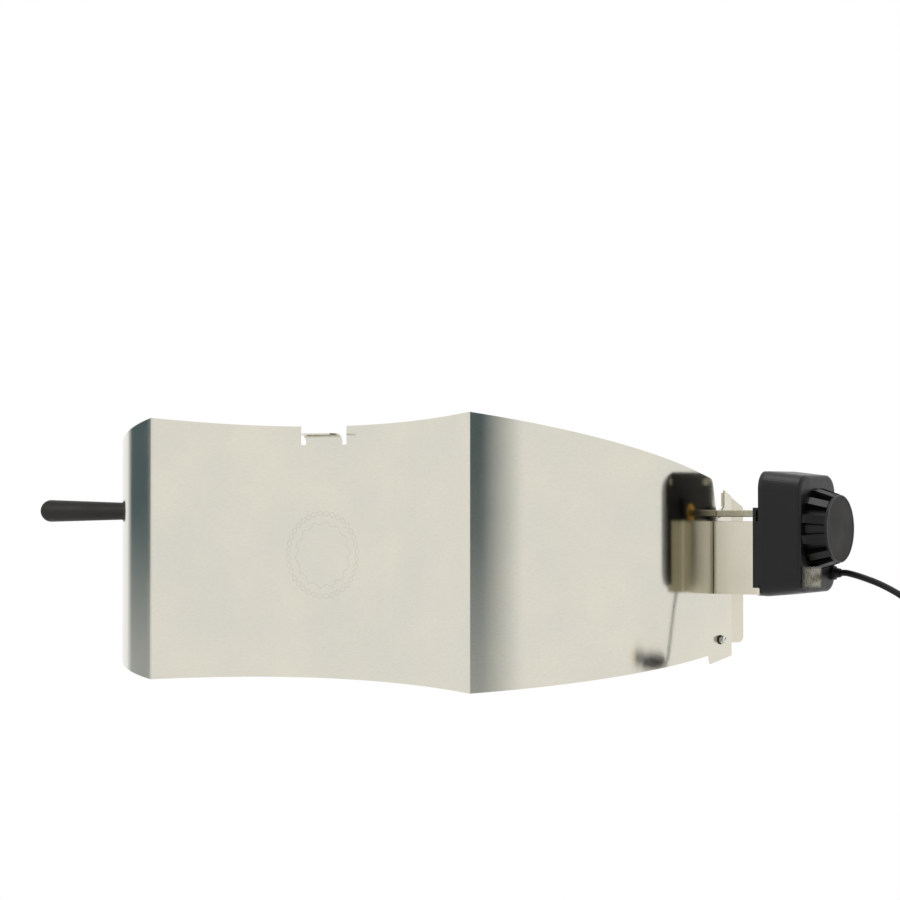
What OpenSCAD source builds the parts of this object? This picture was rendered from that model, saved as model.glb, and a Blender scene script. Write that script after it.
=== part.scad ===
// Rotisserie spit: a bowed steel heat shield that carries a square spit in two end notches,
// with a geared motor hung on a folded bracket at the right.
// Millimetres. X runs along the spit towards the motor, Y runs back from the shield's face, Z is up.

/* [Heat shield] */
// Width of the front panel from fold to fold
panel_w = 364; // [300:1:420]
// How far the front panel bows in at its middle
panel_sag = 36; // [20:1:50]
// Height of the sheet at its two folds
shield_h = 255; // [235:1:300]
// Thickness of the stainless sheet
sheet_t = 1.5; // [1:0.1:2]
// How far the top edge dips at the middle of the front panel
top_dip = 10; // [4:0.5:14]
// How far the bottom edge rises at the middle of the front panel
bottom_rise = 5.5; // [2:0.5:10]
// Bend radius of each wing
wing_r = 248; // [225:1:280]
// Angle from straight back at which a wing leaves its fold
wing_start = 66; // [58:1:70]
// Angle from straight back of the flat end of a wing
wing_end = 12; // [4:1:16]
// Length of the flat end of a wing
wing_flat = 52; // [46:1:70]
// How far the top edge falls along a wing
wing_drop = 69.5; // [60:0.5:72]
// How far the bottom edge climbs along a wing
wing_climb = 34.5; // [25:0.5:36]
// How far each end hook hangs below the bottom edge
hook_drop = 8.5; // [4:0.5:11]

/* [Hanging tab] */
// Width of the notch in the top edge
tab_notch_w = 53; // [44:1:70]
// Width of the tab bent out of the notch
tab_w = 41; // [30:1:46]
// How far the tab stands out towards the front
tab_reach = 20; // [14:1:26]
// How far the notch sits left of the middle
tab_offset = 2.5; // [0:0.5:6]

/* [Spit] */
// Height of the spit's axis above the base
axis_z = 162.3; // [155:0.1:166]
// Distance of the spit's axis from the sheet's end, along the flat end
axis_inset = 18.6; // [17:0.1:21]
// Side of the square bar
rod_side = 6.4; // [5:0.1:6.8]
// Diameter that the bar's corners are turned to
rod_round = 8; // [7:0.1:8]
// Free play round the bar in its notches
notch_play = 0.15; // [0.1:0.05:0.3]
// Distance of the handle's free end from the shield's middle
handle_end = 495; // [470:1:520]
// Length of the handle
handle_len = 122; // [100:1:130]
// Diameter of the handle near its free end
handle_d = 24; // [20:0.5:28]
// Diameter of the handle at its ferrule
handle_neck_d = 18; // [15:0.5:20]

/* [Forks] */
// Distance of each fork's hub from the shield's middle
fork_x = 130; // [125:1:160]
// Length of the fork's tines
tine_len = 90; // [60:1:92]
// Diameter of a tine
tine_d = 4; // [3:0.5:5]
// Distance of each tine from the bar
tine_offset = 27; // [20:1:34]
// Diameter of a fork's hub
hub_d = 22; // [18:1:26]
// Width of a fork's hub
hub_w = 16; // [14:1:20]

/* [Motor] */
// Distance of the back cover's face from the shield's middle
motor_x = 391.5; // [385:0.5:400]
// Width of the housing at its back
motor_w = 88; // [86:1:96]
// Height of the housing at its back
motor_h = 115; // [112:1:125]
// Height of the housing's middle above the base
motor_z = 144; // [140:1:147]
// Thickness of the back cover
cover_t = 4.1; // [3:0.1:5]
// Depth of the housing without its boss
housing_depth = 36; // [34:0.5:42]
// How much narrower and lower the housing is at its front
housing_draft = 8; // [4:0.5:9]
// Thickness of the plastic walls
wall_t = 2.4; // [2:0.1:3]
// Radius of the housing's corners
corner_r = 16; // [14:1:18]
// Radius of the round end of the ribbed boss
boss_r = 31; // [29:0.5:33]
// How far the boss stands out
boss_depth = 22.5; // [20:0.5:26]
// Number of ribs round the boss
rib_count = 12; // [8:1:16]
// Width of each rib
rib_w = 8; // [4:0.5:9]

/* [Bracket] */
// Height of the folded bracket
bracket_h = 68; // [55:1:72]
// Thickness of the bracket's steel
bracket_t = 2; // [1.5:0.1:2.2]
// Distance between the bracket's two side faces, outside
bracket_w = 23; // [21:0.5:26]
// Gap between the bracket's top and the saddle that rests on it
saddle_gap = 0.3; // [0.2:0.05:0.5]

/* [Cord] */
// Diameter of the cord
cord_d = 6; // [5:0.5:6]
// Turns in each layer of the coil
coil_turns = 3; // [2:1:3]

/* [Hidden] */

$fn = 96;
play = 0.1;
past = 1;

// Plan of the front panel: an arc bowed in, seen from its face
half_w = panel_w / 2;
front_r = (half_w * half_w + panel_sag * panel_sag) / (2 * panel_sag);
front_c = [0, panel_sag - front_r];
front_lean = asin(half_w / front_r);

// Plan of a wing: an arc from the fold, then a flat end
wing_c = [half_w - wing_r * cos(wing_start), wing_r * sin(wing_start)];
wing_arc = wing_r * (wing_start - wing_end) * PI / 180;
wing_len = wing_arc + wing_flat;
wing_dir = [sin(wing_end), cos(wing_end)];
flat_start = wing_c + wing_r * [cos(wing_end), -sin(wing_end)];
sheet_end = flat_start + wing_flat * wing_dir;

// The fold's inner corner, where the two inner faces meet
front_normal = [-sin(front_lean), -cos(front_lean)];
wing_normal = [cos(wing_start), -sin(wing_start)];
fold = [half_w, 0] - sheet_t * (front_normal + wing_normal) / (1 + front_normal * wing_normal);

// Spit axis
axis_y = sheet_end[1] - axis_inset * wing_dir[1];
notch_r = rod_round / 2 + notch_play;

// The whole object without its cord is centred on the origin
front_y = fold[1] - sheet_t;
back_y = axis_y + motor_w / 2;
boss_face_x = motor_x + cover_t + housing_depth + boss_depth;
centre = [(boss_face_x - handle_end) / 2, (front_y + back_y) / 2];

// Hanging tab
tab_bend_r = 7;
tab_notch_depth = 17.5;
tab_floor_z = shield_h - top_dip - tab_notch_depth;

// End plates
plate_t = 2;
plate_in = 36;
plate_out = 20;
plate_bottom_z = 40;
plate_top_in_z = 187;
plate_top_out_z = 175;
plate_corner_r = 6;

// M4 fasteners along the flat ends
bolt_r = 2;
bolt_hole_r = 2.15;
washer_r = 4.4;
washer_t = 0.8;
nut_r = 4;
nut_h = 3.2;
dome_r = 3.2;
bolt_inset = 17;
low_bolt_z = 43.5;
bracket_bolt_z = [104, 137];
left_bolt_z = [low_bolt_z, 120];

// Bracket
bracket_top = axis_z - 7.3;
bracket_z = bracket_top - bracket_h;
bracket_bend_r = 2.2;
flange_gap = 0.2;
flange_x = motor_x - flange_gap - bracket_t / 2;
flange_reach = motor_w / 2 - 3.4;

// Rails on the back cover, hooked over the bracket's flanges
rail_out = motor_w / 2 - 0.7;
rail_wall = 2;
rail_lip = 7.4;
lip_t = 3.2;
lip_x = motor_x - 2 * flange_gap - bracket_t - lip_t;
rail_bottom_z = 94.5;
rail_wall_top_z = bracket_top + 0.5;
rail_bridge_z = bracket_top + 10.5;
rail_top_z = rail_bridge_z + 2.5;

// Saddle and drive bush
saddle_depth = 10.5;
saddle_w = 28;
saddle_h = 21;
hub_r = 7;
bush_r = 9;
hub_play = 0.06;
drive_x = motor_x - saddle_depth;
socket_side = rod_side + 0.3;

// Gear train: three stages of 12 to 48 teeth
gear_m = 0.8;
pinion_n = 12;
wheel_n = 48;
stage = gear_m * (pinion_n + wheel_n) / 2;
wheel_w = 4;
pinion_w = 5;
plate_steel = 1.5;
train_x = motor_x + cover_t + plate_steel + 1;
train_pitch = 5;
rotor_drop = 13.7;
gear_axle_r = 1.5;
rotor_at = [axis_y, axis_z - rotor_drop];
drive_at = [axis_y, axis_z];
first_at = rotor_at + stage * [-0.5, -sqrt(0.75)];
mid_gap = (first_at + drive_at) / 2;
across = drive_at - first_at;
across_len = norm(across);
second_at = mid_gap + sqrt(stage * stage - across_len * across_len / 4) * [across[1], -across[0]] / across_len;
front_plate_x = train_x + 3 * train_pitch + 3.4;

// Motor proper
stator_r = 23.5;
stator_len = 27;
stator_x = front_plate_x + plate_steel;
rotor_r = 13;
rotor_bush_r = 4;
pillar_r = 3;
pillar_at = [for (s = [-1, 1]) for (z = [-36, 40]) [axis_y + s * 32.5, motor_z + z]];
screw_at = [for (s = [-1, 1]) for (z = [-1, 1]) [s * (motor_w / 2 - 9), z * (motor_h / 2 - 9)]];
screw_r = 1.8;
screw_len = 24;

// Switch, set in the lower front corner of the face
switch_at = [-24.3, -39.5];
switch_w = 20.5;
switch_h = 17.6;
rocker_w = 15;
rocker_h = 10;
rocker_tilt = 6;
boot_depth = 9;
boot_wall = 1;
pivot_out = 1.5;

// Cord gland at the other lower corner
gland_at = [32.3, -36.8];
gland_r = 6.5;
gland_len = 8.4;
gland_tip_r = cord_d / 2 + 1;

// Free stretch of the cord from the gland down to the coil, from the shield's middle
lead_route = [
    [440, 240, 107.2], [446, 240, 107.2], [456, 240, 105], [466, 240, 102], [477, 240, 98.2],
    [488, 240, 93.4], [499, 240, 87.6],
    [511, 239.8, 79.4], [522, 239.4, 69.8], [532, 238.8, 59.2], [541, 238, 48.2], [549.5, 237, 37.2],
    [558, 236, 26.8], [567.5, 235.2, 17.6], [579, 234.6, 10.2], [592, 234.2, 5.6], [606, 234, 3.9],
    [616, 234, 3.9]
];
// The coil's middle, its first radius and the rise between its two layers
coil_at = [622, 190, 3.9];
coil_r = 44;
coil_pitch = 6.6;
// Free stretch from the coil to the plug, from the coil's middle
tail_route = [
    [6, 44, 10.5], [12, 44, 10.5], [24, 43.6, 9.2], [35, 42.2, 6.6], [46, 38.6, 4.4], [55, 32.6, 3.4],
    [61.5, 24.6, 3.2], [65.4, 15.2, 3.8], [67.4, 4, 5.8], [68, -7, 7], [68, -14, 7]
];
plug_at = [coil_at[0] + 68, coil_at[1] - 14, 7];
plug_relief = 20;
plug_len = 36;
plug_w = 35;
plug_t = 14;
pin_r = 2;
pin_len = 19;
pin_gap = 18.6;

function smooth(t) = t <= 0 ? 0 : t >= 1 ? 1 : t * t * (3 - 2 * t);

// Coil: the spiral runs in, climbs at its middle and runs out again
function coil_radius(n) = coil_r - coil_pitch * (n < coil_turns ? n : 2 * coil_turns - n);
function coil_height(n) = coil_at[2] + coil_pitch * smooth((n - coil_turns + 0.25) / 0.5);
function coil_point(n) = [
    coil_at[0] + coil_radius(n) * sin(360 * n),
    coil_at[1] + coil_radius(n) * cos(360 * n),
    coil_height(n)
];
coil_steps = 24;
coil_path = concat(
    [coil_point(0) - [cord_d, 0, 0]],
    [for (i = [0 : 2 * coil_turns * coil_steps]) coil_point(i / coil_steps)],
    [coil_point(2 * coil_turns) + [cord_d, 0, 0]]
);

// Least distance between the axes of two stretches of the coil half a turn or more apart
coil_near = min([
    for (i = [0 : 2 : len(coil_path) - 1])
        for (j = [i + coil_steps / 2 : 1 : len(coil_path) - 1])
            norm(coil_path[i] - coil_path[j])
]);
echo(coil_gap = coil_near - cord_d);

function path_length(p) = [for (i = [1 : len(p) - 1]) norm(p[i] - p[i - 1])] * [for (i = [1 : len(p) - 1]) 1];
echo(cord_length = path_length(lead_route) + path_length(coil_path) + path_length(tail_route));

// Places things measured from the shield's middle and fold line
module place() {
    translate([-centre[0], -centre[1], 0]) children();
}

// An upright strip of a round wall
module wall_arc(c, r, t, from, to, h) {
    translate([c[0], c[1], 0])
        rotate([0, 0, from])
            rotate_extrude(angle = to - from, $fn = 360)
                translate([r, 0]) square([t, h]);
}

// Origin at the outer face of a wing's end, X outwards and Y along the flat
// The flat lies a hair inside the arc's end, so that the two join soundly
flat_step = 0.02;
flat_lap = 2.5;
module at_wing_end() {
    translate([sheet_end[0], sheet_end[1], 0]) rotate([0, 0, -wing_end]) translate([-flat_step, 0, 0]) children();
}

module wing_flat_blank() {
    at_wing_end() translate([-sheet_t, -wing_flat - flat_lap, 0]) cube([sheet_t, wing_flat + flat_lap, shield_h]);
}

// A profile drawn in Y and Z, run along X
module along_x(x, len) {
    translate([x, 0, 0]) rotate([90, 0, 90]) linear_extrude(len) children();
}

// A solid of revolution round the spit's axis, drawn as [distance along X, radius]
module round_axis(at) {
    translate([0, at[0], at[1]]) rotate([0, 90, 0]) children();
}

// Outline of a wing seen from its end
function wing_s(i, n) = wing_len * i / n;
function wing_y(s) = s < wing_arc
    ? wing_c[1] - wing_r * sin(wing_start - s / wing_r * 180 / PI)
    : flat_start[1] + (s - wing_arc) * wing_dir[1];
function wing_top(q) = shield_h - wing_drop * (0.66 * q + 0.34 * q * q);
function wing_bottom(q) = wing_climb * (0.7 * q + 0.3 * q * q);
wing_steps = 18;
wing_outline = concat(
    [[-5, 0]],
    [for (i = [0 : wing_steps]) [wing_y(wing_s(i, wing_steps)), wing_bottom(i / wing_steps)]],
    [for (i = [wing_steps : -1 : 0]) [wing_y(wing_s(i, wing_steps)), wing_top(i / wing_steps)]],
    [[-5, shield_h]]
);
hook_w = 31;
hook_z = wing_bottom(1 - hook_w / wing_len) - hook_drop;
end_y = sheet_end[1];
hook_outline = [
    [end_y - hook_w - 2.5, hook_z + 9.5], [end_y - hook_w, hook_z], [end_y + past, hook_z + 7],
    [end_y + past, 60], [end_y - hook_w - 2.5, 60]
];

// Notch that the spit drops into, wide at its mouth, measured from the spit's axis
notch_outline = [
    [-notch_r, 0], [-notch_r, 2.7], [-9.4, 29.7], [-11.5, 33.2], [-15, 35.4], [-20, 36.8], [-20, 90],
    [40, 90], [40, 4.5], [8.1, 21.7], [8.1, 6.5], [notch_r, 2.7], [notch_r, 0]
];
module end_notch() {
    translate([0, axis_y, axis_z]) {
        along_x(sheet_end[0] - 40, 80) polygon(notch_outline);
        translate([sheet_end[0] - 40, 0, 0]) rotate([0, 90, 0]) cylinder(r = notch_r, h = 80);
    }
}

// Outline of the front panel seen from its face
panel_steps = 12;
function panel_bow(x) = 1 - x * x / (half_w * half_w);
panel_xs = [for (i = [-panel_steps : panel_steps]) half_w * i / panel_steps];
panel_outline = concat(
    [[-half_w - 5, 0]],
    [for (x = panel_xs) [x, bottom_rise * panel_bow(x)]],
    [[half_w + 5, 0], [half_w + 5, shield_h]],
    [for (i = [len(panel_xs) - 1 : -1 : 0]) [panel_xs[i], shield_h - top_dip * panel_bow(panel_xs[i])]],
    [[-half_w - 5, shield_h]]
);

module wing_sheet(heights) {
    fold_angle = atan2(wing_c[1] - fold[1], fold[0] - wing_c[0]);
    difference() {
        union() {
            intersection() {
                union() {
                    wall_arc(wing_c, wing_r - sheet_t, sheet_t, -fold_angle, -wing_end, shield_h);
                    wing_flat_blank();
                }
                along_x(0, sheet_end[0] + 50) polygon(wing_outline);
            }
            intersection() {
                wing_flat_blank();
                along_x(0, sheet_end[0] + 50) polygon(hook_outline);
            }
        }
        end_notch();
        bolt_holes(heights, bolt_hole_r);
    }
}

// The bend stands a hair proud of both faces, so that it joins them soundly
fold_proud = 0.02;
module fold_bend() {
    reach = 2 * sheet_t;
    spread = 14;
    first = atan2(front_normal[1], front_normal[0]) - spread;
    last = atan2(wing_normal[1], wing_normal[0]) + spread;
    intersection() {
        translate([fold[0], fold[1], 0]) cylinder(r = sheet_t + fold_proud, h = shield_h);
        translate([fold[0], fold[1], 0])
            linear_extrude(shield_h)
                polygon([
                    [0, 0], reach * [cos(first), sin(first)],
                    reach * [cos((first + last) / 2), sin((first + last) / 2)],
                    reach * [cos(last), sin(last)]
                ]);
    }
}

module hanging_tab() {
    out_y = panel_sag - tab_bend_r;
    left = -tab_offset - tab_w / 2;
    bend_z = tab_floor_z + 2;
    translate([left, panel_sag, tab_floor_z - past]) cube([tab_w, sheet_t, bend_z - tab_floor_z + past]);
    translate([left, out_y, bend_z])
        rotate([90, 0, 90])
            rotate_extrude(angle = 90) translate([tab_bend_r, 0]) square([sheet_t, tab_w]);
    translate([left, panel_sag - tab_reach, bend_z + tab_bend_r])
        cube([tab_w, tab_reach - tab_bend_r, sheet_t]);
}

module heat_shield() {
    fold_angle = atan2(fold[0], fold[1] - front_c[1]);
    color("lightgray") place() {
        difference() {
            intersection() {
                wall_arc(front_c, front_r, sheet_t, 90 - fold_angle, 90 + fold_angle, shield_h);
                translate([0, 2 * panel_sag, 0])
                    rotate([90, 0, 0]) linear_extrude(3 * panel_sag) polygon(panel_outline);
            }
            translate([-tab_offset - tab_notch_w / 2, 0, tab_floor_z]) cube([tab_notch_w, 2 * panel_sag, shield_h]);
        }
        hanging_tab();
        wing_sheet(right_bolt_z);
        fold_bend();
        mirror([1, 0, 0]) {
            wing_sheet(left_bolt_z);
            fold_bend();
        }
    }
}

// Flat plate inside a wing's end, with the same notch
module end_plate() {
    place() difference() {
        at_wing_end() along_x(-sheet_t - plate_t, plate_t)
            polygon(concat(
                [[-plate_in, plate_top_in_z], [-plate_in, plate_bottom_z]],
                [for (a = [0 : 15 : 90]) [
                    plate_out - plate_corner_r + plate_corner_r * sin(a),
                    plate_bottom_z + plate_corner_r - plate_corner_r * cos(a)
                ]],
                [[plate_out, plate_top_out_z]]
            ));
        end_notch();
        children();
    }
}

module bolt_holes(heights, r) {
    at_wing_end()
        for (z = heights)
            translate([-30, -bolt_inset, z]) rotate([0, 90, 0]) cylinder(r = r, h = 60);
}

right_bolt_z = concat([low_bolt_z], bracket_bolt_z);

module left_end_plate() {
    color("gainsboro") translate([-2 * centre[0], 0, 0]) mirror([1, 0, 0])
        end_plate() bolt_holes(left_bolt_z, bolt_hole_r);
}

module right_end_plate() {
    color("gainsboro") end_plate() bolt_holes(right_bolt_z, bolt_hole_r);
}

// A strip of sheet folded along a path, upright, with round bends
function unit(v) = v / norm(v);
function turn_at(p, i) =
    let (a = unit(p[i] - p[i - 1]), b = unit(p[i + 1] - p[i]))
    atan2(a[0] * b[1] - a[1] * b[0], a[0] * b[0] + a[1] * b[1]);
function left_of(d) = [-d[1], d[0]];

// One edge of the strip, to the left of its path by the given offset
bend_steps = 8;
function strip_edge(p, r, offset) = [
    for (i = [0 : len(p) - 1])
        let (
            last = i == len(p) - 1,
            d = last ? unit(p[i] - p[i - 1]) : i == 0 ? unit(p[1] - p[0]) : unit(p[i] - p[i - 1]),
            inner = i > 0 && !last,
            turn = inner ? turn_at(p, i) : 0,
            side = turn < 0 ? -1 : 1,
            c = p[i] - r * tan(abs(turn) / 2) * d + side * r * left_of(d)
        )
        each inner
            ? [for (k = [0 : bend_steps]) c - (side * r - offset) * turned(left_of(d), turn * k / bend_steps)]
            : [p[i] + offset * left_of(d)]
];

module folded_strip(p, t, r, h) {
    near = strip_edge(p, r, t / 2);
    far = strip_edge(p, r, -t / 2);
    linear_extrude(h) polygon(concat(near, [for (i = [len(far) - 1 : -1 : 0]) far[i]]));
}

module motor_bracket() {
    half = bracket_w / 2 - bracket_t / 2;
    web_off = (bracket_t / 2 - flat_step) / cos(wing_end);
    web_x = function(y) sheet_end[0] + web_off + (y - sheet_end[1]) * tan(wing_end);
    path = [
        [flange_x, axis_y - flange_reach], [flange_x, axis_y - half],
        [web_x(axis_y - half), axis_y - half], [web_x(axis_y + half), axis_y + half],
        [flange_x, axis_y + half], [flange_x, axis_y + flange_reach]
    ];
    color("silver") place() difference() {
        translate([0, 0, bracket_z])
            folded_strip(path, bracket_t, bracket_bend_r + bracket_t / 2, bracket_h);
        bolt_holes(bracket_bolt_z, bolt_hole_r);
    }
}

// Fasteners through the flat ends: the head is inside and the cap nut outside.
// On the bracket's web the washer sits further out, by the web's thickness.
function stack_x(z, right) = (right && z > low_bolt_z) ? bracket_t : 0;

module both_ends() {
    place() for (right = [true, false])
        mirror([right ? 0 : 1, 0, 0])
            at_wing_end()
                for (z = right ? right_bolt_z : left_bolt_z)
                    translate([stack_x(z, right), -bolt_inset, z])
                        rotate([0, 90, 0]) {
                            $grip = sheet_t + plate_t + stack_x(z, right);
                            children();
                        }
}

module end_bolts() {
    color("silver") both_ends() {
        translate([0, 0, -$grip]) cylinder(r = bolt_r, h = $grip + washer_t + nut_h);
        translate([0, 0, -$grip - 2.4]) cylinder(r = 3.8, h = 2.4);
    }
}

module end_washers() {
    color([0.1, 0.1, 0.1]) both_ends() difference() {
        cylinder(r = washer_r, h = washer_t);
        translate([0, 0, -past]) cylinder(r = bolt_hole_r, h = washer_t + 2 * past);
    }
}

module cap_nuts() {
    color("white") both_ends() translate([0, 0, washer_t]) difference() {
        union() {
            cylinder(r = nut_r, h = nut_h, $fn = 6);
            translate([0, 0, nut_h]) intersection() {
                translate([0, 0, 0.6]) sphere(r = dome_r);
                cylinder(r = dome_r, h = dome_r + 1);
            }
        }
        translate([0, 0, -past]) cylinder(r = bolt_r + 0.02, h = nut_h + past + 0.3);
    }
}

// Square bar with turned corners, pointed at the motor end
rod_tip_x = train_x + wheel_w - 1;
rod_in_handle = 62;
neck_x = handle_end - handle_len;
rod_start_x = -neck_x - rod_in_handle;
module spit_rod() {
    color("silver") place() intersection() {
        along_x(rod_start_x, rod_tip_x - rod_start_x)
            translate([axis_y, axis_z]) square(rod_side, center = true);
        translate([rod_start_x, axis_y, axis_z]) rotate([0, 90, 0])
            rotate_extrude()
                polygon([
                    [0, 0], [rod_round / 2, 0], [rod_round / 2, rod_tip_x - rod_start_x - 6],
                    [0.6, rod_tip_x - rod_start_x], [0, rod_tip_x - rod_start_x]
                ]);
    }
}

// Handle, thickest near its rounded free end
ferrule_len = 9;
ferrule_r = handle_neck_d / 2 + 0.8;
module spit_handle() {
    end_r = handle_d / 2;
    color([0.12, 0.11, 0.1]) place() difference() {
        translate([-neck_x, axis_y, axis_z]) rotate([0, -90, 0]) rotate_extrude() intersection() {
            union() {
                polygon([
                    [0, 0], [handle_neck_d / 2, 0],
                    [handle_d / 2, handle_len - end_r], [0, handle_len - end_r]
                ]);
                translate([0, handle_len - end_r]) circle(r = end_r);
            }
            square([handle_d, handle_len]);
        }
        along_x(rod_start_x, rod_in_handle + past)
            translate([axis_y, axis_z]) square(rod_side, center = true);
    }
}

module handle_ferrule() {
    color("silver") place() difference() {
        translate([-neck_x, axis_y, axis_z]) rotate([0, 90, 0]) cylinder(r1 = ferrule_r, r2 = ferrule_r - 2, h = ferrule_len);
        along_x(-neck_x - past, ferrule_len + 2 * past)
            translate([axis_y, axis_z]) square(rod_side, center = true);
    }
}

// Fork: a hub with a square hole and two crossed bars that carry four pointed tines
screw_shank_r = 3;
module fork() {
    bar_t = 3;
    bar_h = 9;
    difference() {
        union() {
            translate([-hub_w / 2, 0, 0]) rotate([0, 90, 0]) cylinder(d = hub_d, h = hub_w);
            for (a = [45, 135]) rotate([a, 0, 0])
                translate([hub_w / 2 - bar_t - past, -bar_h / 2, -tine_offset - tine_d])
                    cube([bar_t, bar_h, 2 * (tine_offset + tine_d)]);
            for (a = [45 : 90 : 315]) rotate([a, 0, 0])
                translate([hub_w / 2 - 2 * past, 0, tine_offset]) rotate([0, 90, 0])
                    rotate_extrude()
                        polygon([
                            [0, 0], [tine_d / 2, 0], [tine_d / 2, tine_len - 10], [0.3, tine_len], [0, tine_len]
                        ]);
        }
        translate([-hub_w, -rod_side / 2 - play, -rod_side / 2 - play])
            cube([2 * hub_w, rod_side + 2 * play, rod_side + 2 * play]);
        cylinder(r = screw_shank_r + 0.05, h = hub_d);
    }
}

// Clamping screw with a flat wing, standing in the hub
module fork_screw() {
    foot = rod_side / 2 + play;
    head_z = hub_d / 2 + 1.5;
    translate([0, 0, foot]) cylinder(r = screw_shank_r, h = head_z - foot);
    translate([0, 0, head_z]) cylinder(r = 5, h = 5);
    translate([0, 0, head_z + 12]) rotate([90, 0, 0]) cylinder(r = 9, h = 2.6, center = true);
}

module left_fork() {
    color("lightgray") place() translate([-fork_x, axis_y, axis_z]) fork();
}

module left_fork_screw() {
    color("silver") place() translate([-fork_x, axis_y, axis_z]) fork_screw();
}

module right_fork() {
    color("lightgray") place() translate([fork_x, axis_y, axis_z]) mirror([1, 0, 0]) fork();
}

module right_fork_screw() {
    color("silver") place() translate([fork_x, axis_y, axis_z]) fork_screw();
}

// Motor: X from the back cover's outer face, Y and Z from the housing's middle
module at_motor(x = 0) {
    place() translate([motor_x + x, axis_y, motor_z]) children();
}

module round_plate(w, h, r, t) {
    rotate([90, 0, 90]) linear_extrude(t) {
        square([w - 2 * r, h], center = true);
        square([w, h - 2 * r], center = true);
        for (y = [-1, 1]) for (z = [-1, 1])
            translate([y * (w / 2 - r), z * (h / 2 - r)]) circle(r = r);
    }
}

module motor_back_cover() {
    color([0.1, 0.1, 0.11]) difference() {
        union() {
            at_motor() round_plate(motor_w, motor_h, corner_r, cover_t);
            place() translate([drive_x, axis_y - saddle_w / 2, bracket_top + saddle_gap])
                cube([saddle_depth + past, saddle_w, saddle_h]);
            place() translate([0, axis_y, 0]) for (side = [0, 1]) mirror([0, side, 0]) {
                translate([lip_x, -rail_out, rail_bottom_z])
                    cube([lip_t, rail_lip, rail_top_z - rail_bottom_z]);
                translate([lip_x, -rail_out, rail_bottom_z])
                    cube([motor_x - lip_x + past, rail_wall, rail_wall_top_z - rail_bottom_z]);
                translate([lip_x, -rail_out, rail_bridge_z])
                    cube([motor_x - lip_x + past, rail_lip, rail_top_z - rail_bridge_z]);
            }
        }
        place() translate([drive_x - past, axis_y, axis_z]) rotate([0, 90, 0])
            cylinder(r = bush_r, h = saddle_depth + cover_t + 2 * past);
        at_motor() for (p = screw_at) translate([-past, p[0], p[1]]) rotate([0, 90, 0]) {
            cylinder(r = screw_r + play, h = cover_t + 2 * past);
            cylinder(r = 3.7, h = 2.4 + past);
        }
    }
}

// Housing walls taper to the front, where the edge is rounded off
module housing_block(shrink, depth, round) {
    r = corner_r - shrink;
    slices = [
        [0, 0], [depth - round, housing_draft * (depth - round) / housing_depth],
        [depth - round / 3, housing_draft + 0.6 * round], [depth, housing_draft + 2 * round]
    ];
    hull() for (s = slices)
        translate([min(s[0], depth - 0.05), 0, 0])
            for (y = [-1, 1]) for (z = [-1, 1])
                translate([0, y * (motor_w / 2 - shrink - r - s[1] / 2), z * (motor_h / 2 - shrink - r - s[1] / 2)])
                    rotate([0, 90, 0]) cylinder(r = r, h = 0.05, $fn = 48);
}

boss_base_r = boss_r + 6.5;
boss_core_r = boss_r - 1;
boss_core_end_r = boss_r - 4;
boss_rim_t = 2.5;
boss_at_z = axis_z - rotor_drop - motor_z;
module boss_shape() {
    translate([housing_depth - past, 0, boss_at_z]) rotate([0, 90, 0]) {
        cylinder(r1 = boss_core_r, r2 = boss_core_end_r, h = boss_depth - 2 + past);
        translate([0, 0, boss_depth - boss_rim_t + past]) cylinder(r = boss_r, h = boss_rim_t);
        for (i = [0 : rib_count - 1]) rotate([0, 0, (i + 0.5) * 360 / rib_count])
            translate([0, rib_w / 2, 0]) rotate([90, 0, 0]) linear_extrude(rib_w)
                polygon([
                    [stator_r + 2, 0], [boss_base_r, 0], [boss_base_r - 0.3, 4],
                    [boss_r + 0.8, boss_depth - 2], [boss_r - 0.8, boss_depth], [stator_r + 2, boss_depth]
                ]);
    }
}

// Pad that fills the rounded corner under the switch, and the space that the switch takes
pad_depth = 14;
module switch_pad() {
    w = switch_w + 2 * boot_wall + 2;
    h = switch_h + 2 * boot_wall + 2;
    translate([housing_depth - pad_depth, switch_at[0], switch_at[1]]) round_plate(w, h, 3, pad_depth);
}

module switch_space() {
    w = switch_w + 2 * boot_wall + 0.6;
    h = switch_h + 2 * boot_wall + 0.6;
    translate([housing_depth, switch_at[0] - w / 2, switch_at[1] - h / 2]) cube([30, w, h]);
    translate([housing_depth - 18, switch_at[0] - rocker_w / 2 - 1.8, switch_at[1] - rocker_h / 2 - 1.8])
        cube([20, rocker_w + 3.6, rocker_h + 3.6]);
}

rim_depth = 1;
edge_round = 2.5;
module motor_housing() {
    color([0.12, 0.12, 0.13]) at_motor(cover_t) difference() {
        union() {
            difference() {
                union() {
                    housing_block(0, housing_depth, edge_round);
                    boss_shape();
                    switch_pad();
                }
                translate([-0.1, 0, 0]) housing_block(wall_t, housing_depth - wall_t, 2);
            }
            for (p = screw_at) intersection() {
                housing_block(0, housing_depth, edge_round);
                translate([0, p[0], p[1]]) rotate([0, 90, 0]) cylinder(r = 4.4, h = housing_depth - 1);
            }
        }
        switch_space();
        translate([0, 0, boss_at_z]) rotate([0, 90, 0])
            translate([0, 0, housing_depth - wall_t - past]) cylinder(r = stator_r + 0.7, h = boss_depth - 0.6);
        translate([housing_depth + boss_depth - rim_depth, 0, boss_at_z]) rotate([0, 90, 0])
            cylinder(r = boss_r - 1.4, h = 2);
        for (p = screw_at) translate([-past, p[0], p[1]]) rotate([0, 90, 0]) cylinder(r = screw_r, h = screw_len - 3);
        translate([housing_depth - 5, gland_at[0], gland_at[1]]) rotate([0, 90, 0]) cylinder(r = 4, h = 10);
    }
}

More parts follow.
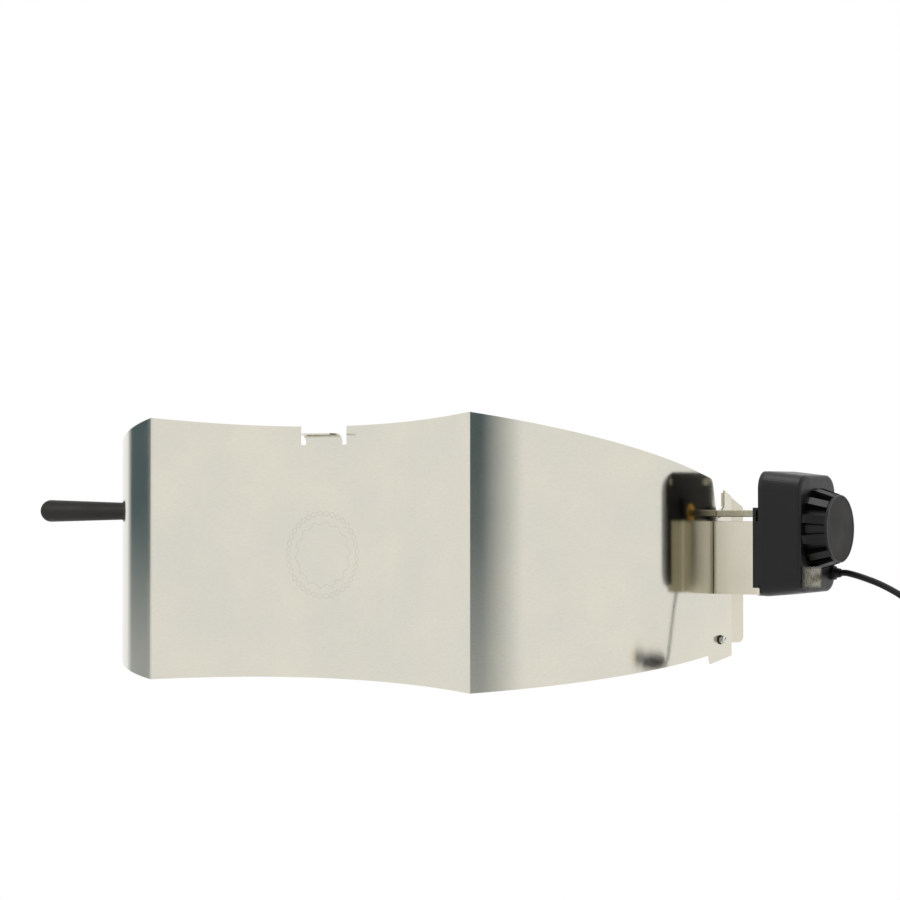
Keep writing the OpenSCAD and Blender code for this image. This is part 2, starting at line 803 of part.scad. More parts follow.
module boss_disc() {
    color([0.16, 0.15, 0.13]) at_motor(cover_t + housing_depth + boss_depth - rim_depth)
        translate([0, 0, boss_at_z]) rotate([0, 90, 0]) cylinder(r = boss_r - 1.6, h = rim_depth - 0.2);
}

module housing_screws() {
    color("silver") at_motor() for (p = screw_at) translate([0, p[0], p[1]]) rotate([0, 90, 0]) difference() {
        union() {
            translate([0, 0, 0.2]) cylinder(r = 3.5, h = 2.2);
            translate([0, 0, 2.4]) cylinder(r = screw_r - 0.02, h = screw_len - 6);
        }
        translate([-2.4, -0.5, -past]) cube([4.8, 1, 1 + past + 0.2]);
        translate([-0.5, -2.4, -past]) cube([1, 4.8, 1 + past + 0.2]);
    }
}

// Two steel plates, four pillars and two fixed axles carry the gears
plate_w = 71;
plate_h = 83;
plate_mid_z = 2;
module gear_plate_blank(x) {
    place() translate([x, axis_y - plate_w / 2, motor_z + plate_mid_z - plate_h / 2])
        cube([plate_steel, plate_w, plate_h]);
}

module holes_at(points, r, x, len) {
    place() for (p = points) translate([x, p[0], p[1]]) rotate([0, 90, 0]) cylinder(r = r, h = len);
}

module rear_gear_plate() {
    x = motor_x + cover_t;
    color("lightsteelblue") difference() {
        gear_plate_blank(x);
        holes_at([drive_at], hub_r + 0.5, x - past, plate_steel + 2 * past);
        holes_at([first_at, second_at], gear_axle_r, x - past, plate_steel + 2 * past);
    }
}

module front_gear_plate() {
    color("lightsteelblue") difference() {
        gear_plate_blank(front_plate_x);
        holes_at([first_at, second_at], gear_axle_r, front_plate_x - past, plate_steel + 2 * past);
        holes_at([rotor_at], rotor_bush_r, front_plate_x - past, plate_steel + 2 * past);
    }
}

module plate_pillars() {
    x = motor_x + cover_t + plate_steel;
    color("silver") holes_at(pillar_at, pillar_r, x, front_plate_x - x);
}

module gear_axles() {
    x = motor_x + cover_t;
    color("silver") holes_at([first_at, second_at], gear_axle_r, x, front_plate_x + plate_steel - x);
}

module drive_bush() {
    x = drive_x;
    color("darkgoldenrod") difference() {
        holes_at([drive_at], bush_r, x, saddle_depth + cover_t);
        holes_at([drive_at], hub_r + hub_play, x - past, saddle_depth + cover_t + 2 * past);
    }
}

// Involute gear tooth, thinned for backlash
pressure = 20;
backlash = 0.12;
function involute(rb, a) = rb * [cos(a) + a * PI / 180 * sin(a), sin(a) - a * PI / 180 * cos(a)];
function roll_angle(rb, r) = sqrt(max(r * r / (rb * rb) - 1, 0)) * 180 / PI;
function turned(p, a) = [p[0] * cos(a) - p[1] * sin(a), p[0] * sin(a) + p[1] * cos(a)];
function tooth_side(n, m, steps) =
    let (
        rp = m * n / 2, rb = rp * cos(pressure), ra = rp + 0.85 * m, rf = rp - 1.15 * m,
        at_pitch = involute(rb, roll_angle(rb, rp)),
        lead = atan2(at_pitch[1], at_pitch[0]),
        half_tooth = 90 / n - backlash / 2 / rp * 180 / PI,
        last = roll_angle(rb, ra),
        first = roll_angle(rb, max(rb, rf))
    )
    concat(
        [turned([rf, 0], -half_tooth - lead)],
        [for (i = [0 : steps]) turned(involute(rb, first + (last - first) * i / steps), -half_tooth - lead)]
    );
function flipped(p) = [for (i = [len(p) - 1 : -1 : 0]) [p[i][0], -p[i][1]]];
function gear_points(n, m, phase, steps = 4) =
    let (side = tooth_side(n, m, steps), tooth = concat(side, flipped(side)))
    [for (k = [0 : n - 1]) for (q = tooth) turned(q, phase + 360 * k / n)];

// A gear's phase is measured from its middle to the one it meshes with, in the plane across the spit
function heading(a, b) = atan2(b[1] - a[1], b[0] - a[0]);
wheel_step = 360 / wheel_n;
pinion_step = 360 / pinion_n;
// Each wheel sets a gap, and the pinion a tooth, on the line between them
first_wheel_phase = heading(first_at, rotor_at) + wheel_step / 2;
rotor_phase = heading(rotor_at, first_at);
second_wheel_phase = heading(second_at, first_at) + wheel_step / 2;
first_pinion_phase = heading(first_at, second_at);
drive_wheel_phase = heading(drive_at, second_at) + wheel_step / 2;
second_pinion_phase = heading(second_at, drive_at);

module gear(at, n, phase, x, w) {
    place() along_x(x, w) translate([at[0], at[1]]) polygon(gear_points(n, gear_m, phase));
}

module drive_gear() {
    hub_end = train_x + wheel_w + 0.3;
    color("goldenrod") difference() {
        union() {
            gear(drive_at, wheel_n, drive_wheel_phase, train_x, wheel_w);
            holes_at([drive_at], hub_r, drive_x, hub_end - drive_x);
        }
        place() along_x(drive_x - past, hub_end - drive_x + 2 * past)
            translate([axis_y, axis_z]) square(socket_side, center = true);
    }
}

module second_gear() {
    color("white") difference() {
        union() {
            gear(second_at, wheel_n, second_wheel_phase, train_x + train_pitch, wheel_w);
            gear(second_at, pinion_n, second_pinion_phase, train_x - 0.4, train_pitch + 1);
        }
        holes_at([second_at], gear_axle_r + 0.05, train_x - 2, 20);
    }
}

module first_gear() {
    color("white") difference() {
        union() {
            gear(first_at, wheel_n, first_wheel_phase, train_x + 2 * train_pitch, wheel_w);
            gear(first_at, pinion_n, first_pinion_phase, train_x + train_pitch - 0.4, train_pitch + 1);
        }
        holes_at([first_at], gear_axle_r + 0.05, train_x, 25);
    }
}

rotor_shaft_r = 1.5;
module rotor() {
    pinion_x = train_x + 2 * train_pitch - 0.4;
    drum_x = stator_x + 3;
    shaft_end = stator_x + stator_len + 1.5;
    color("dimgray") {
        gear(rotor_at, pinion_n, rotor_phase, pinion_x, pinion_w + 0.4);
        holes_at([rotor_at], rotor_shaft_r, pinion_x, shaft_end - pinion_x);
        holes_at([rotor_at], rotor_r, drum_x, stator_len - 7);
    }
}

module rotor_bushes() {
    color("darkgoldenrod") for (x = [front_plate_x, stator_x + stator_len - 1.2]) difference() {
        holes_at([rotor_at], rotor_bush_r, x, 2.5);
        holes_at([rotor_at], rotor_shaft_r + 0.05, x - past, 2.5 + 2 * past);
    }
}

module stator_cup() {
    color("lightsteelblue") difference() {
        holes_at([rotor_at], stator_r, stator_x, stator_len);
        holes_at([rotor_at], stator_r - 1.2, stator_x - past, stator_len - 1.2 + past);
        holes_at([rotor_at], rotor_bush_r, stator_x, stator_len + past);
    }
}

module stator_coil() {
    color("peru") difference() {
        holes_at([rotor_at], stator_r - 1.2, stator_x, stator_len - 1.2);
        holes_at([rotor_at], rotor_r + 0.6, stator_x - past, stator_len + 2 * past);
    }
}

// Rocker switch: a body set in the face, a rocker on its own pivots, and a clear rain boot
module at_switch() {
    at_motor(cover_t + housing_depth) translate([0, switch_at[0], switch_at[1]]) children();
}

module switch_body() {
    color([0.2, 0.2, 0.22]) at_switch() difference() {
        union() {
            translate([0, -switch_w / 2, -switch_h / 2]) cube([2, switch_w, switch_h]);
            translate([-13, -rocker_w / 2 - 1.5, -rocker_h / 2 - 1.5]) cube([13 + past, rocker_w + 3, rocker_h + 3]);
        }
        translate([-6, -rocker_w / 2 - 0.8, -rocker_h / 2 - 0.3]) cube([10, rocker_w + 1.6, rocker_h + 0.6]);
        translate([pivot_out, 0, -rocker_h / 2 - 1.2]) cylinder(r = 1.25, h = rocker_h + 2.4, $fn = 48);
    }
}

module switch_rocker() {
    color([0.75, 0.1, 0.08]) at_switch() translate([pivot_out, 0, 0]) {
        rotate([0, 0, -rocker_tilt]) translate([0, 0, -rocker_h / 2]) linear_extrude(rocker_h)
            polygon([
                [-2.4, -rocker_w / 2], [-2.4, rocker_w / 2], [3.4, rocker_w / 2], [2.1, 0], [3.4, -rocker_w / 2]
            ]);
        translate([0, 0, -rocker_h / 2 - 1]) cylinder(r = 1.2, h = rocker_h + 2, $fn = 48);
    }
}

module switch_boot() {
    color([0.8, 0.85, 0.85, 0.5]) at_switch() difference() {
        translate([0, -switch_w / 2 - boot_wall, -switch_h / 2 - boot_wall])
            cube([boot_depth, switch_w + 2 * boot_wall, switch_h + 2 * boot_wall]);
        translate([-past, -switch_w / 2, -switch_h / 2]) cube([2 + past, switch_w, switch_h]);
        translate([1.9, -switch_w / 2 + 0.8, -switch_h / 2 + 0.8])
            cube([boot_depth - boot_wall - 1.9, switch_w - 1.6, switch_h - 1.6]);
    }
}

// Cord gland and its tapered relief
module cord_gland() {
    bore_r = cord_d / 2;
    color([0.08, 0.08, 0.08]) at_motor(cover_t + housing_depth) translate([0, gland_at[0], gland_at[1]])
        rotate([0, 90, 0]) {
            translate([0, 0, -4]) cylinder(r = 3.95, h = 4.5);
            cylinder(r = gland_r, h = 3);
            translate([0, 0, 3]) cylinder(r1 = 5, r2 = gland_tip_r, h = gland_len - 3);
        }
}

// A round tube swept along a path, as one closed skin
function path_dir(p, i) = unit(p[min(i + 1, len(p) - 1)] - p[max(i - 1, 0)]);
function ring(p, i, r, sides) =
    let (d = path_dir(p, i), a = unit(cross([0, 0, 1], d)), b = cross(d, a))
    [for (k = [0 : sides - 1]) p[i] + r * (cos(360 * k / sides) * a + sin(360 * k / sides) * b)];
module tube(p, r, sides) {
    n = len(p);
    points = [for (i = [0 : n - 1]) for (q = ring(p, i, r, sides)) q];
    skin = [for (i = [0 : n - 2]) for (k = [0 : sides - 1]) each [
        [i * sides + k, (i + 1) * sides + k, i * sides + (k + 1) % sides],
        [(i + 1) * sides + k, (i + 1) * sides + (k + 1) % sides, i * sides + (k + 1) % sides]
    ]];
    first_end = [for (k = [1 : sides - 2]) [0, k, k + 1]];
    last_end = [for (k = [1 : sides - 2]) [(n - 1) * sides, (n - 1) * sides + k + 1, (n - 1) * sides + k]];
    polyhedron(points, concat(skin, first_end, last_end));
}

module cord_lead() {
    color([0.07, 0.07, 0.07]) place() tube(lead_route, cord_d / 2, 10);
}

module cord_coil() {
    color([0.07, 0.07, 0.07]) place() tube(coil_path, cord_d / 2, 6);
}

module cord_tail() {
    color([0.07, 0.07, 0.07]) place() translate([coil_at[0], coil_at[1], 0]) tube(tail_route, cord_d / 2, 10);
}

// Strap round all the turns, opposite the cord's entry
tie_t = 0.6;
tie_w = 12;
module coil_tie() {
    coil_inside = coil_radius(coil_turns) - cord_d / 2;
    inner = sqrt(coil_inside * coil_inside - tie_w * tie_w / 4) - 0.5;
    outer = coil_radius(0.5) + cord_d / 2 + 0.5;
    top = coil_at[2] + coil_pitch + cord_d / 2 + 0.3;
    color([0.1, 0.1, 0.1]) place() translate([coil_at[0] - tie_w / 2, coil_at[1], 0]) difference() {
        translate([0, -outer - tie_t, 0]) cube([tie_w, outer - inner + 2 * tie_t, top + tie_t]);
        translate([-past, -outer, tie_t]) cube([tie_w + 2 * past, outer - inner, top - tie_t]);
    }
}

// Flat two-pin plug lying on its side, pins towards the front
module plug_body() {
    color([0.08, 0.08, 0.08]) place() translate(plug_at) rotate([90, 0, 0]) {
        cylinder(r1 = cord_d / 2 + 0.8, r2 = 5.5, h = plug_relief);
        hull() {
            translate([0, 0, plug_relief]) resize([16, 12, 4]) cylinder(r = 8, h = 4, $fn = 32);
            translate([0, 0, plug_relief + 14]) linear_extrude(plug_len - 14) hull() for (s = [-1, 1])
                translate([s * (plug_w / 2 - plug_t / 2), 0]) circle(r = plug_t / 2, $fn = 32);
        }
    }
}

module plug_pins() {
    color("silver") place() translate(plug_at) rotate([90, 0, 0]) for (s = [-1, 1])
        translate([s * pin_gap / 2, 0, plug_relief + plug_len]) {
            cylinder(r = pin_r, h = pin_len - 1);
            translate([0, 0, pin_len - 1]) cylinder(r1 = pin_r, r2 = pin_r - 0.8, h = 1);
        }
}

heat_shield();
left_end_plate();
right_end_plate();
motor_bracket();
end_bolts();
end_washers();
cap_nuts();
spit_rod();
spit_handle();
handle_ferrule();
left_fork();
left_fork_screw();
right_fork();
right_fork_screw();
motor_back_cover();
motor_housing();
boss_disc();
housing_screws();
rear_gear_plate();
front_gear_plate();
plate_pillars();
gear_axles();
drive_bush();
drive_gear();
second_gear();
first_gear();
rotor();
rotor_bushes();
stator_cup();
stator_coil();
switch_body();
switch_rocker();
switch_boot();
cord_gland();
cord_lead();
cord_coil();
coil_tie();
cord_tail();
plug_body();
plug_pins();
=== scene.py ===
import math

import bpy
import bmesh
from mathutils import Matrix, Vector


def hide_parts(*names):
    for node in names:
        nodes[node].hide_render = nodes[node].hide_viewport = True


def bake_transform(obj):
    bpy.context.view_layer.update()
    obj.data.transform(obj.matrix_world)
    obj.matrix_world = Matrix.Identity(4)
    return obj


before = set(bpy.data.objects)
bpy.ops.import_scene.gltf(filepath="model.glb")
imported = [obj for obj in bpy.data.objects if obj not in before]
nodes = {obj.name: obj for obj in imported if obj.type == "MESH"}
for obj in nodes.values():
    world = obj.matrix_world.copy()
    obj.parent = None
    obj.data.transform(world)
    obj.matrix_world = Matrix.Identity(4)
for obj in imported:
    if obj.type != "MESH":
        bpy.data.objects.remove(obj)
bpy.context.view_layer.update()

# Shop drawing place of the shield's middle in the row frame, in metres.
# Every length below is measured from it, as it is in the part's source.
SHIFT = Vector((0.02045, -0.125898, 0.0))


def at(x, y, z):
    """A place in the row frame from the source's own x, y and z, in metres."""
    return Vector((x, y, z)) + SHIFT


def linear(code):
    """An sRGB hex colour as a linear one, with alpha 1."""
    values = []
    for i in (1, 3, 5):
        c = int(code[i:i + 2], 16) / 255
        values.append(c / 12.92 if c <= 0.04045 else ((c + 0.055) / 1.055) ** 2.4)
    return tuple(values) + (1.0,)


# Camera. It stands in front and to the right, with a long lens, at about the height
# of the spit, and looks slightly up. Place, turn and lens are fitted to the photograph.
camera_data = bpy.data.cameras.new("camera")
camera_data.sensor_width = 36
camera_data.lens = 108
camera_data.clip_end = 20
camera = bpy.data.objects.new("camera", camera_data)
camera.location = at(1.4548, -2.0861, 0.1785)
camera.rotation_euler = (math.radians(90.98), 0, math.radians(31.8))
bpy.context.scene.collection.objects.link(camera)
bpy.context.scene.camera = camera
bpy.context.scene.render.resolution_x = 900
bpy.context.scene.render.resolution_y = 900


def add(tree, kind, links=None, **values):
    """Adds a shader node; values set sockets or properties, links join sockets."""
    made = tree.nodes.new(kind)
    for key, value in values.items():
        if hasattr(made, key):
            setattr(made, key, value)
        else:
            made.inputs[key.replace("_", " ")].default_value = value
    for key, source in (links or {}).items():
        tree.links.new(source, made.inputs[key])
    return made


def material(name, color, metallic=0.0, roughness=0.5, specular=0.5):
    made = bpy.data.materials.new(name)
    made.use_nodes = True
    tree = made.node_tree
    shader = tree.nodes["Principled BSDF"]
    shader.inputs["Base Color"].default_value = linear(color)
    shader.inputs["Metallic"].default_value = metallic
    shader.inputs["Roughness"].default_value = roughness
    shader.inputs["Specular IOR Level"].default_value = specular
    coords = add(tree, "ShaderNodeTexCoord").outputs["Object"]
    return made, tree, shader, coords


def mixed(tree, factor, first, second):
    mix = add(tree, "ShaderNodeMix", data_type="RGBA")
    tree.links.new(factor, mix.inputs["Factor"])
    for socket, value in ((mix.inputs[6], first), (mix.inputs[7], second)):
        if hasattr(value, "is_output"):
            tree.links.new(value, socket)
        else:
            socket.default_value = value
    return mix.outputs[2]


def noise(tree, coords, scale, detail=4.0, stretch=None, rough=0.5):
    source = coords
    if stretch:
        source = add(tree, "ShaderNodeMapping", {"Vector": coords}, Scale=stretch).outputs["Vector"]
    made = add(tree, "ShaderNodeTexNoise", {"Vector": source}, Scale=scale, Detail=detail, Roughness=rough)
    return made.outputs["Fac"]


def ranged(tree, value, low, high, to_low, to_high):
    made = add(tree, "ShaderNodeMapRange", {"Value": value}, clamp=True)
    for socket, number in zip(("From Min", "From Max", "To Min", "To Max"), (low, high, to_low, to_high)):
        made.inputs[socket].default_value = number
    return made.outputs["Result"]


def maths(tree, operation, first, second=None):
    made = add(tree, "ShaderNodeMath", operation=operation)
    for socket, value in zip(made.inputs, (first, second)):
        if value is None:
            continue
        if hasattr(value, "is_output"):
            tree.links.new(value, socket)
        else:
            socket.default_value = value
    return made.outputs[0]


def bumped(tree, shader, height, strength, distance):
    bump = add(tree, "ShaderNodeBump", {"Height": height}, Strength=strength, Distance=distance)
    tree.links.new(bump.outputs["Normal"], shader.inputs["Normal"])
    return bump


# The ring's middle on the shield's face, and the width of its lines at full and no strength.
# Each ring has a mean radius, the depth and number of its scallops, and a turn in radians.
RING_X = -0.003
RING_Z = 0.1227
FRONT_REACH = (0.045, 0.046)
LINE_FULL = 0.00022
LINE_GONE = 0.00055
LINE_STRENGTH = 0.17
RINGS = (
    (0.0395, 0.0022, 18, 0.0),
    (0.0395, 0.0022, 18, math.pi),
    (0.0300, 0.0016, 14, 0.0),
)


def ring_lines(tree, coords):
    """1 on the lines of the plain scalloped ring on the shield's face, 0 elsewhere."""
    split = add(tree, "ShaderNodeSeparateXYZ", {"Vector": coords})
    u = maths(tree, "SUBTRACT", split.outputs["X"], SHIFT.x + RING_X)
    w = maths(tree, "SUBTRACT", split.outputs["Z"], RING_Z)
    squares = maths(tree, "ADD", maths(tree, "MULTIPLY", u, u), maths(tree, "MULTIPLY", w, w))
    radius = maths(tree, "SQRT", squares)
    angle = maths(tree, "ARCTAN2", w, u)
    lines = None
    for size, depth, count, turn in RINGS:
        phase = maths(tree, "ADD", maths(tree, "MULTIPLY", angle, count), turn)
        wave = maths(tree, "MULTIPLY", maths(tree, "SINE", phase), depth)
        off = maths(tree, "SUBTRACT", radius, maths(tree, "ADD", wave, size))
        line = ranged(tree, maths(tree, "ABSOLUTE", off), LINE_FULL, LINE_GONE, 1, 0)
        lines = line if lines is None else maths(tree, "MAXIMUM", lines, line)
    front = ranged(tree, split.outputs["Y"], SHIFT.y + FRONT_REACH[0], SHIFT.y + FRONT_REACH[1], 1, 0)
    return maths(tree, "MULTIPLY", lines, front)


# Stainless sheet: fine satin grain along the length, faint patches in tone, and small
# changes in gloss where it has been handled. The round mark on its face is a plain ring.
def sheet_metal(name, color, tint, rough_low, rough_high, mark=False):
    made, tree, shader, coords = material(name, color, metallic=1.0)
    patches = ranged(tree, noise(tree, coords, 14, 3), 0.35, 0.65, 0, 1)
    grain = noise(tree, coords, 260, 5, (1, 1, 9), 0.7)
    fine = noise(tree, coords, 1500, 2, (1, 1, 4), 0.6)
    tone = mixed(tree, patches, linear(color), linear(tint))
    streak = ranged(tree, grain, 0.3, 0.7, 0.95, 1.04)
    streaked = add(tree, "ShaderNodeVectorMath", {0: tone}, operation="SCALE")
    tree.links.new(streak, streaked.inputs["Scale"])
    final = streaked.outputs[0]
    if mark:
        print_strength = maths(tree, "MULTIPLY", ring_lines(tree, coords), LINE_STRENGTH)
        final = mixed(tree, print_strength, final, linear("#6f6a5e"))
    tree.links.new(final, shader.inputs["Base Color"])
    rough = ranged(tree, noise(tree, coords, 22, 4), 0.3, 0.7, rough_low, rough_high)
    tree.links.new(rough, shader.inputs["Roughness"])
    height = maths(tree, "ADD", maths(tree, "MULTIPLY", grain, 0.7), maths(tree, "MULTIPLY", fine, 0.3))
    bumped(tree, shader, height, 0.06, 0.0002)
    return made


# Drawn, turned or plated metal for small fittings.
def fitting_metal(name, color, roughness, metallic=1.0, wear="#ffffff", amount=0.15):
    made, tree, shader, coords = material(name, color, metallic=metallic)
    scratch = noise(tree, coords, 400, 4, (0.25, 1, 1), 0.65)
    worn = ranged(tree, noise(tree, coords, 60, 5), 0.55, 0.75, 0, amount)
    tree.links.new(mixed(tree, worn, linear(color), linear(wear)), shader.inputs["Base Color"])
    rough = ranged(tree, scratch, 0.3, 0.7, roughness * 0.8, roughness * 1.3)
    tree.links.new(rough, shader.inputs["Roughness"])
    bumped(tree, shader, scratch, 0.05, 0.0001)
    return made


# Moulded plastic: a fine spark-eroded texture under a satin face, with faint flow marks.
def moulded(name, color, lighter, roughness, specular, texture=0.12):
    made, tree, shader, coords = material(name, color, specular=specular)
    flow = ranged(tree, noise(tree, coords, 18, 3), 0.35, 0.7, 0, 1)
    pores = noise(tree, coords, 1400, 3, None, 0.6)
    tree.links.new(mixed(tree, flow, linear(color), linear(lighter)), shader.inputs["Base Color"])
    rough = ranged(tree, noise(tree, coords, 40, 3), 0.3, 0.7, roughness - 0.05, roughness + 0.07)
    tree.links.new(rough, shader.inputs["Roughness"])
    bumped(tree, shader, pores, texture, 0.0002)
    return made


stainless = sheet_metal("stainless_sheet", "#dcd8ca", "#d6d4c8", 0.07, 0.12, mark=True)
plate_steel = sheet_metal("stainless_plate", "#dbd6c6", "#d4cfbe", 0.3, 0.4)
bar_steel = fitting_metal("steel_fittings", "#a39f8b", 0.3)
zinc = fitting_metal("zinc_plate", "#b7babd", 0.38)
chrome = fitting_metal("chrome", "#d8d8d6", 0.12)
black_steel = fitting_metal("black_washer", "#171716", 0.45, metallic=0.3, wear="#3a3937")
brass = fitting_metal("brass", "#b9924a", 0.3)
copper = moulded("copper_wire", "#8c4a22", "#a05a2c", 0.35, 0.5)
iron = fitting_metal("magnet", "#3a3b3e", 0.5)
plastic = moulded("black_plastic", "#0d0d0f", "#111113", 0.36, 0.3)
disc_paint = moulded("black_disc", "#1b1a16", "#1f1d19", 0.5, 0.2, 0.05)
handle_paint = moulded("black_handle", "#1b1916", "#201e1a", 0.5, 0.3, 0.2)
rocker_plastic = moulded("rocker_plastic", "#1c1c1d", "#222223", 0.2, 0.5, 0.02)
gear_plastic = moulded("gear_plastic", "#d8d3c2", "#dedacb", 0.4, 0.4, 0.05)
rubber = moulded("cord_rubber", "#131313", "#181817", 0.45, 0.28, 0.1)


# Clear silicone of the rain boot: it bends light a little and has a milky cast.
def silicone():
    made, tree, shader, coords = material("clear_silicone", "#f3f0df", roughness=0.12)
    shader.inputs["Transmission Weight"].default_value = 0.9
    shader.inputs["IOR"].default_value = 1.35
    ripple = noise(tree, coords, 150, 2)
    tree.links.new(ranged(tree, ripple, 0.3, 0.7, 0.06, 0.18), shader.inputs["Roughness"])
    bumped(tree, shader, ripple, 0.25, 0.0006)
    return made


clear = silicone()

finishes = {
    stainless: ["heat_shield"],
    plate_steel: ["left_end_plate", "right_end_plate", "motor_bracket"],
    bar_steel: ["end_bolts", "spit_rod", "handle_ferrule", "housing_screws", "plate_pillars", "gear_axles"],
    chrome: ["cap_nuts", "left_fork", "left_fork_screw", "right_fork", "right_fork_screw"],
    black_steel: ["end_washers"],
    plastic: ["motor_back_cover", "motor_housing", "switch_body", "coil_tie", "plug_body"],
    disc_paint: ["boss_disc"],
    handle_paint: ["spit_handle"],
    rocker_plastic: ["switch_rocker"],
    zinc: ["rear_gear_plate", "front_gear_plate", "stator_cup"],
    brass: ["drive_bush", "drive_gear", "rotor_bushes", "plug_pins"],
    gear_plastic: ["second_gear", "first_gear"],
    iron: ["rotor"],
    copper: ["stator_coil"],
    clear: ["switch_boot"],
    rubber: ["cord_gland"],
}
for finish, names in finishes.items():
    for name in names:
        for holder in nodes[name].material_slots:
            holder.material = finish


# Cord: one tube from the gland, down to the floor, through the coil and out to the plug.
# Its route repeats the source's points; the coil is the same spiral.
CORD_D = 0.006
LEAD = [
    (440, 240, 107.2), (446, 240, 107.2), (456, 240, 105), (466, 240, 102), (477, 240, 98.2),
    (488, 240, 93.4), (499, 240, 87.6),
    (511, 239.8, 79.4), (522, 239.4, 69.8), (532, 238.8, 59.2), (541, 238, 48.2), (549.5, 237, 37.2),
    (558, 236, 26.8), (567.5, 235.2, 17.6), (579, 234.6, 10.2), (592, 234.2, 5.6), (606, 234, 3.9),
    (616, 234, 3.9),
]
COIL_AT = (622, 190, 3.9)
COIL_R = 44
PITCH = 6.6
TURNS = 3
TAIL = [
    (6, 44, 10.5), (12, 44, 10.5), (24, 43.6, 9.2), (35, 42.2, 6.6), (46, 38.6, 4.4), (55, 32.6, 3.4),
    (61.5, 24.6, 3.2), (65.4, 15.2, 3.8), (67.4, 4, 5.8), (68, -7, 7), (68, -14, 7),
]


def coil_point(n):
    radius = COIL_R - PITCH * (n if n < TURNS else 2 * TURNS - n)
    t = min(1, max(0, (n - TURNS + 0.25) / 0.5))
    height = COIL_AT[2] + PITCH * t * t * (3 - 2 * t)
    angle = 2 * math.pi * n
    return (COIL_AT[0] + radius * math.sin(angle), COIL_AT[1] + radius * math.cos(angle), height)


def smoothed(points, steps):
    """A Catmull-Rom line through the points."""
    line = []
    for i in range(len(points) - 1):
        p0, p1, p2, p3 = (Vector(points[max(0, min(len(points) - 1, k))]) for k in (i - 1, i, i + 1, i + 2))
        for s in range(steps):
            t = s / steps
            line.append(0.5 * (2 * p1 + (p2 - p0) * t + (2 * p0 - 5 * p1 + 4 * p2 - p3) * t * t
                               + (3 * p1 - p0 - 3 * p2 + p3) * t ** 3))
    line.append(Vector(points[-1]))
    return line


STEPS = 4
COIL_STEPS = 36
lead = smoothed(LEAD, STEPS)
coil = [Vector(coil_point(i / COIL_STEPS)) for i in range(2 * TURNS * COIL_STEPS + 1)]
tail = [Vector((COIL_AT[0] + x, COIL_AT[1] + y, z)) for x, y, z in smoothed(TAIL, STEPS)]
route = [p * 0.001 + SHIFT for p in lead + coil + tail]


def tube(name, points, radius, sides):
    mesh = bmesh.new()
    rings = []
    for i, p in enumerate(points):
        d = (points[min(i + 1, len(points) - 1)] - points[max(i - 1, 0)]).normalized()
        a = Vector((0, 0, 1)).cross(d).normalized()
        b = d.cross(a)
        rings.append([mesh.verts.new(p + radius * (math.cos(t) * a + math.sin(t) * b))
                      for t in (2 * math.pi * k / sides for k in range(sides))])
    for first, second in zip(rings, rings[1:]):
        for k in range(sides):
            n = (k + 1) % sides
            mesh.faces.new((first[k], first[n], second[n], second[k])).smooth = True
    mesh.faces.new(list(reversed(rings[0])))
    mesh.faces.new(rings[-1])
    bmesh.ops.recalc_face_normals(mesh, faces=mesh.faces)
    data = bpy.data.meshes.new(name)
    mesh.to_mesh(data)
    mesh.free()
    made = bpy.data.objects.new(name, data)
    bpy.context.scene.collection.objects.link(made)
    return made


cord = tube("mains_cord", route, CORD_D / 2, 16)
cord.data.materials.append(rubber)
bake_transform(cord)
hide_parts("cord_lead", "cord_coil", "cord_tail")


# Light: the shield mirrors its surroundings, so the world is a pale room with two dark
# screens in it, one ahead and one at the left, as the photograph's reflections show.
# The camera itself sees plain white.
world = bpy.data.worlds.new("world")
bpy.context.scene.world = world
world.use_nodes = True
wt = world.node_tree
wt.nodes.clear()
direction = add(wt, "ShaderNodeTexCoord").outputs["Generated"]
split = add(wt, "ShaderNodeSeparateXYZ", {"Vector": direction})
azimuth = maths(wt, "ARCTAN2", split.outputs["X"], maths(wt, "MULTIPLY", split.outputs["Y"], -1))


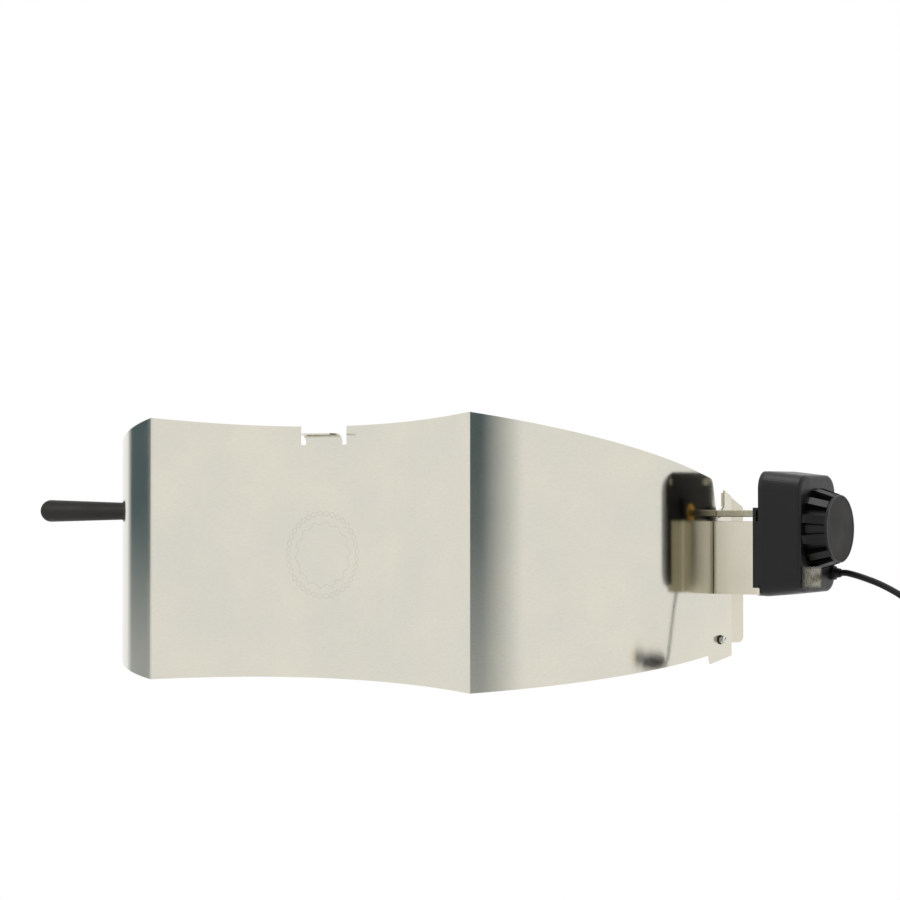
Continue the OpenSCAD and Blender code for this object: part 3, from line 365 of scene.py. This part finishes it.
def lobe(start, full_from, full_to, end):
    """1 between full_from and full_to degrees right of straight ahead, 0 outside start and end."""
    values = [math.radians(v) for v in (start, full_from, full_to, end)]
    rise = ranged(wt, azimuth, values[0], values[1], 0, 1)
    fall = ranged(wt, azimuth, values[2], values[3], 1, 0)
    return maths(wt, "MULTIPLY", rise, fall)


# Both screens are darkest from a little below eye level upward, and paler toward the floor.
ahead = lobe(9, 13, 22, 40)
side = lobe(-118, -110, -88, -84)
fade = ranged(wt, split.outputs["Z"], -0.0644, -0.0088, 0.61, 1)
WHITE = (1, 1, 1, 1)
room = mixed(wt, maths(wt, "MULTIPLY", ahead, fade), WHITE, linear("#56646a"))
room = mixed(wt, maths(wt, "MULTIPLY", side, fade), room, linear("#56666c"))
seen = add(wt, "ShaderNodeLightPath").outputs
glossy = add(wt, "ShaderNodeBackground", {"Color": room}, Strength=1.0).outputs[0]
soft = add(wt, "ShaderNodeBackground", Color=WHITE, Strength=0.55).outputs[0]
white = add(wt, "ShaderNodeBackground", Color=WHITE, Strength=1.0).outputs[0]
lit = add(wt, "ShaderNodeMixShader", {0: seen["Is Glossy Ray"], 1: soft, 2: glossy}).outputs[0]
straight = maths(wt, "MAXIMUM", seen["Is Camera Ray"], seen["Is Transmission Ray"])
mix_camera = add(wt, "ShaderNodeMixShader", {0: straight, 1: lit, 2: white})
add(wt, "ShaderNodeOutputWorld", {"Surface": mix_camera.outputs[0]})


def lamp(name, place, aim, size, power, color="#ffffff"):
    data = bpy.data.lights.new(name, "AREA")
    data.size = size
    data.energy = power
    data.color = linear(color)[:3]
    made = bpy.data.objects.new(name, data)
    made.location = place
    made.rotation_euler = (Vector(aim) - Vector(place)).to_track_quat("-Z", "Y").to_euler()
    bpy.context.scene.collection.objects.link(made)


lamp("top_light", (0.3, -0.2, 1.9), (0.2, 0.0, 0.1), 1.2, 14)
lamp("key_light", (-1.4, -1.6, 1.2), (0, 0, 0.1), 1.0, 10, "#fff8ee")

scene = bpy.context.scene
scene.view_settings.view_transform = "Standard"
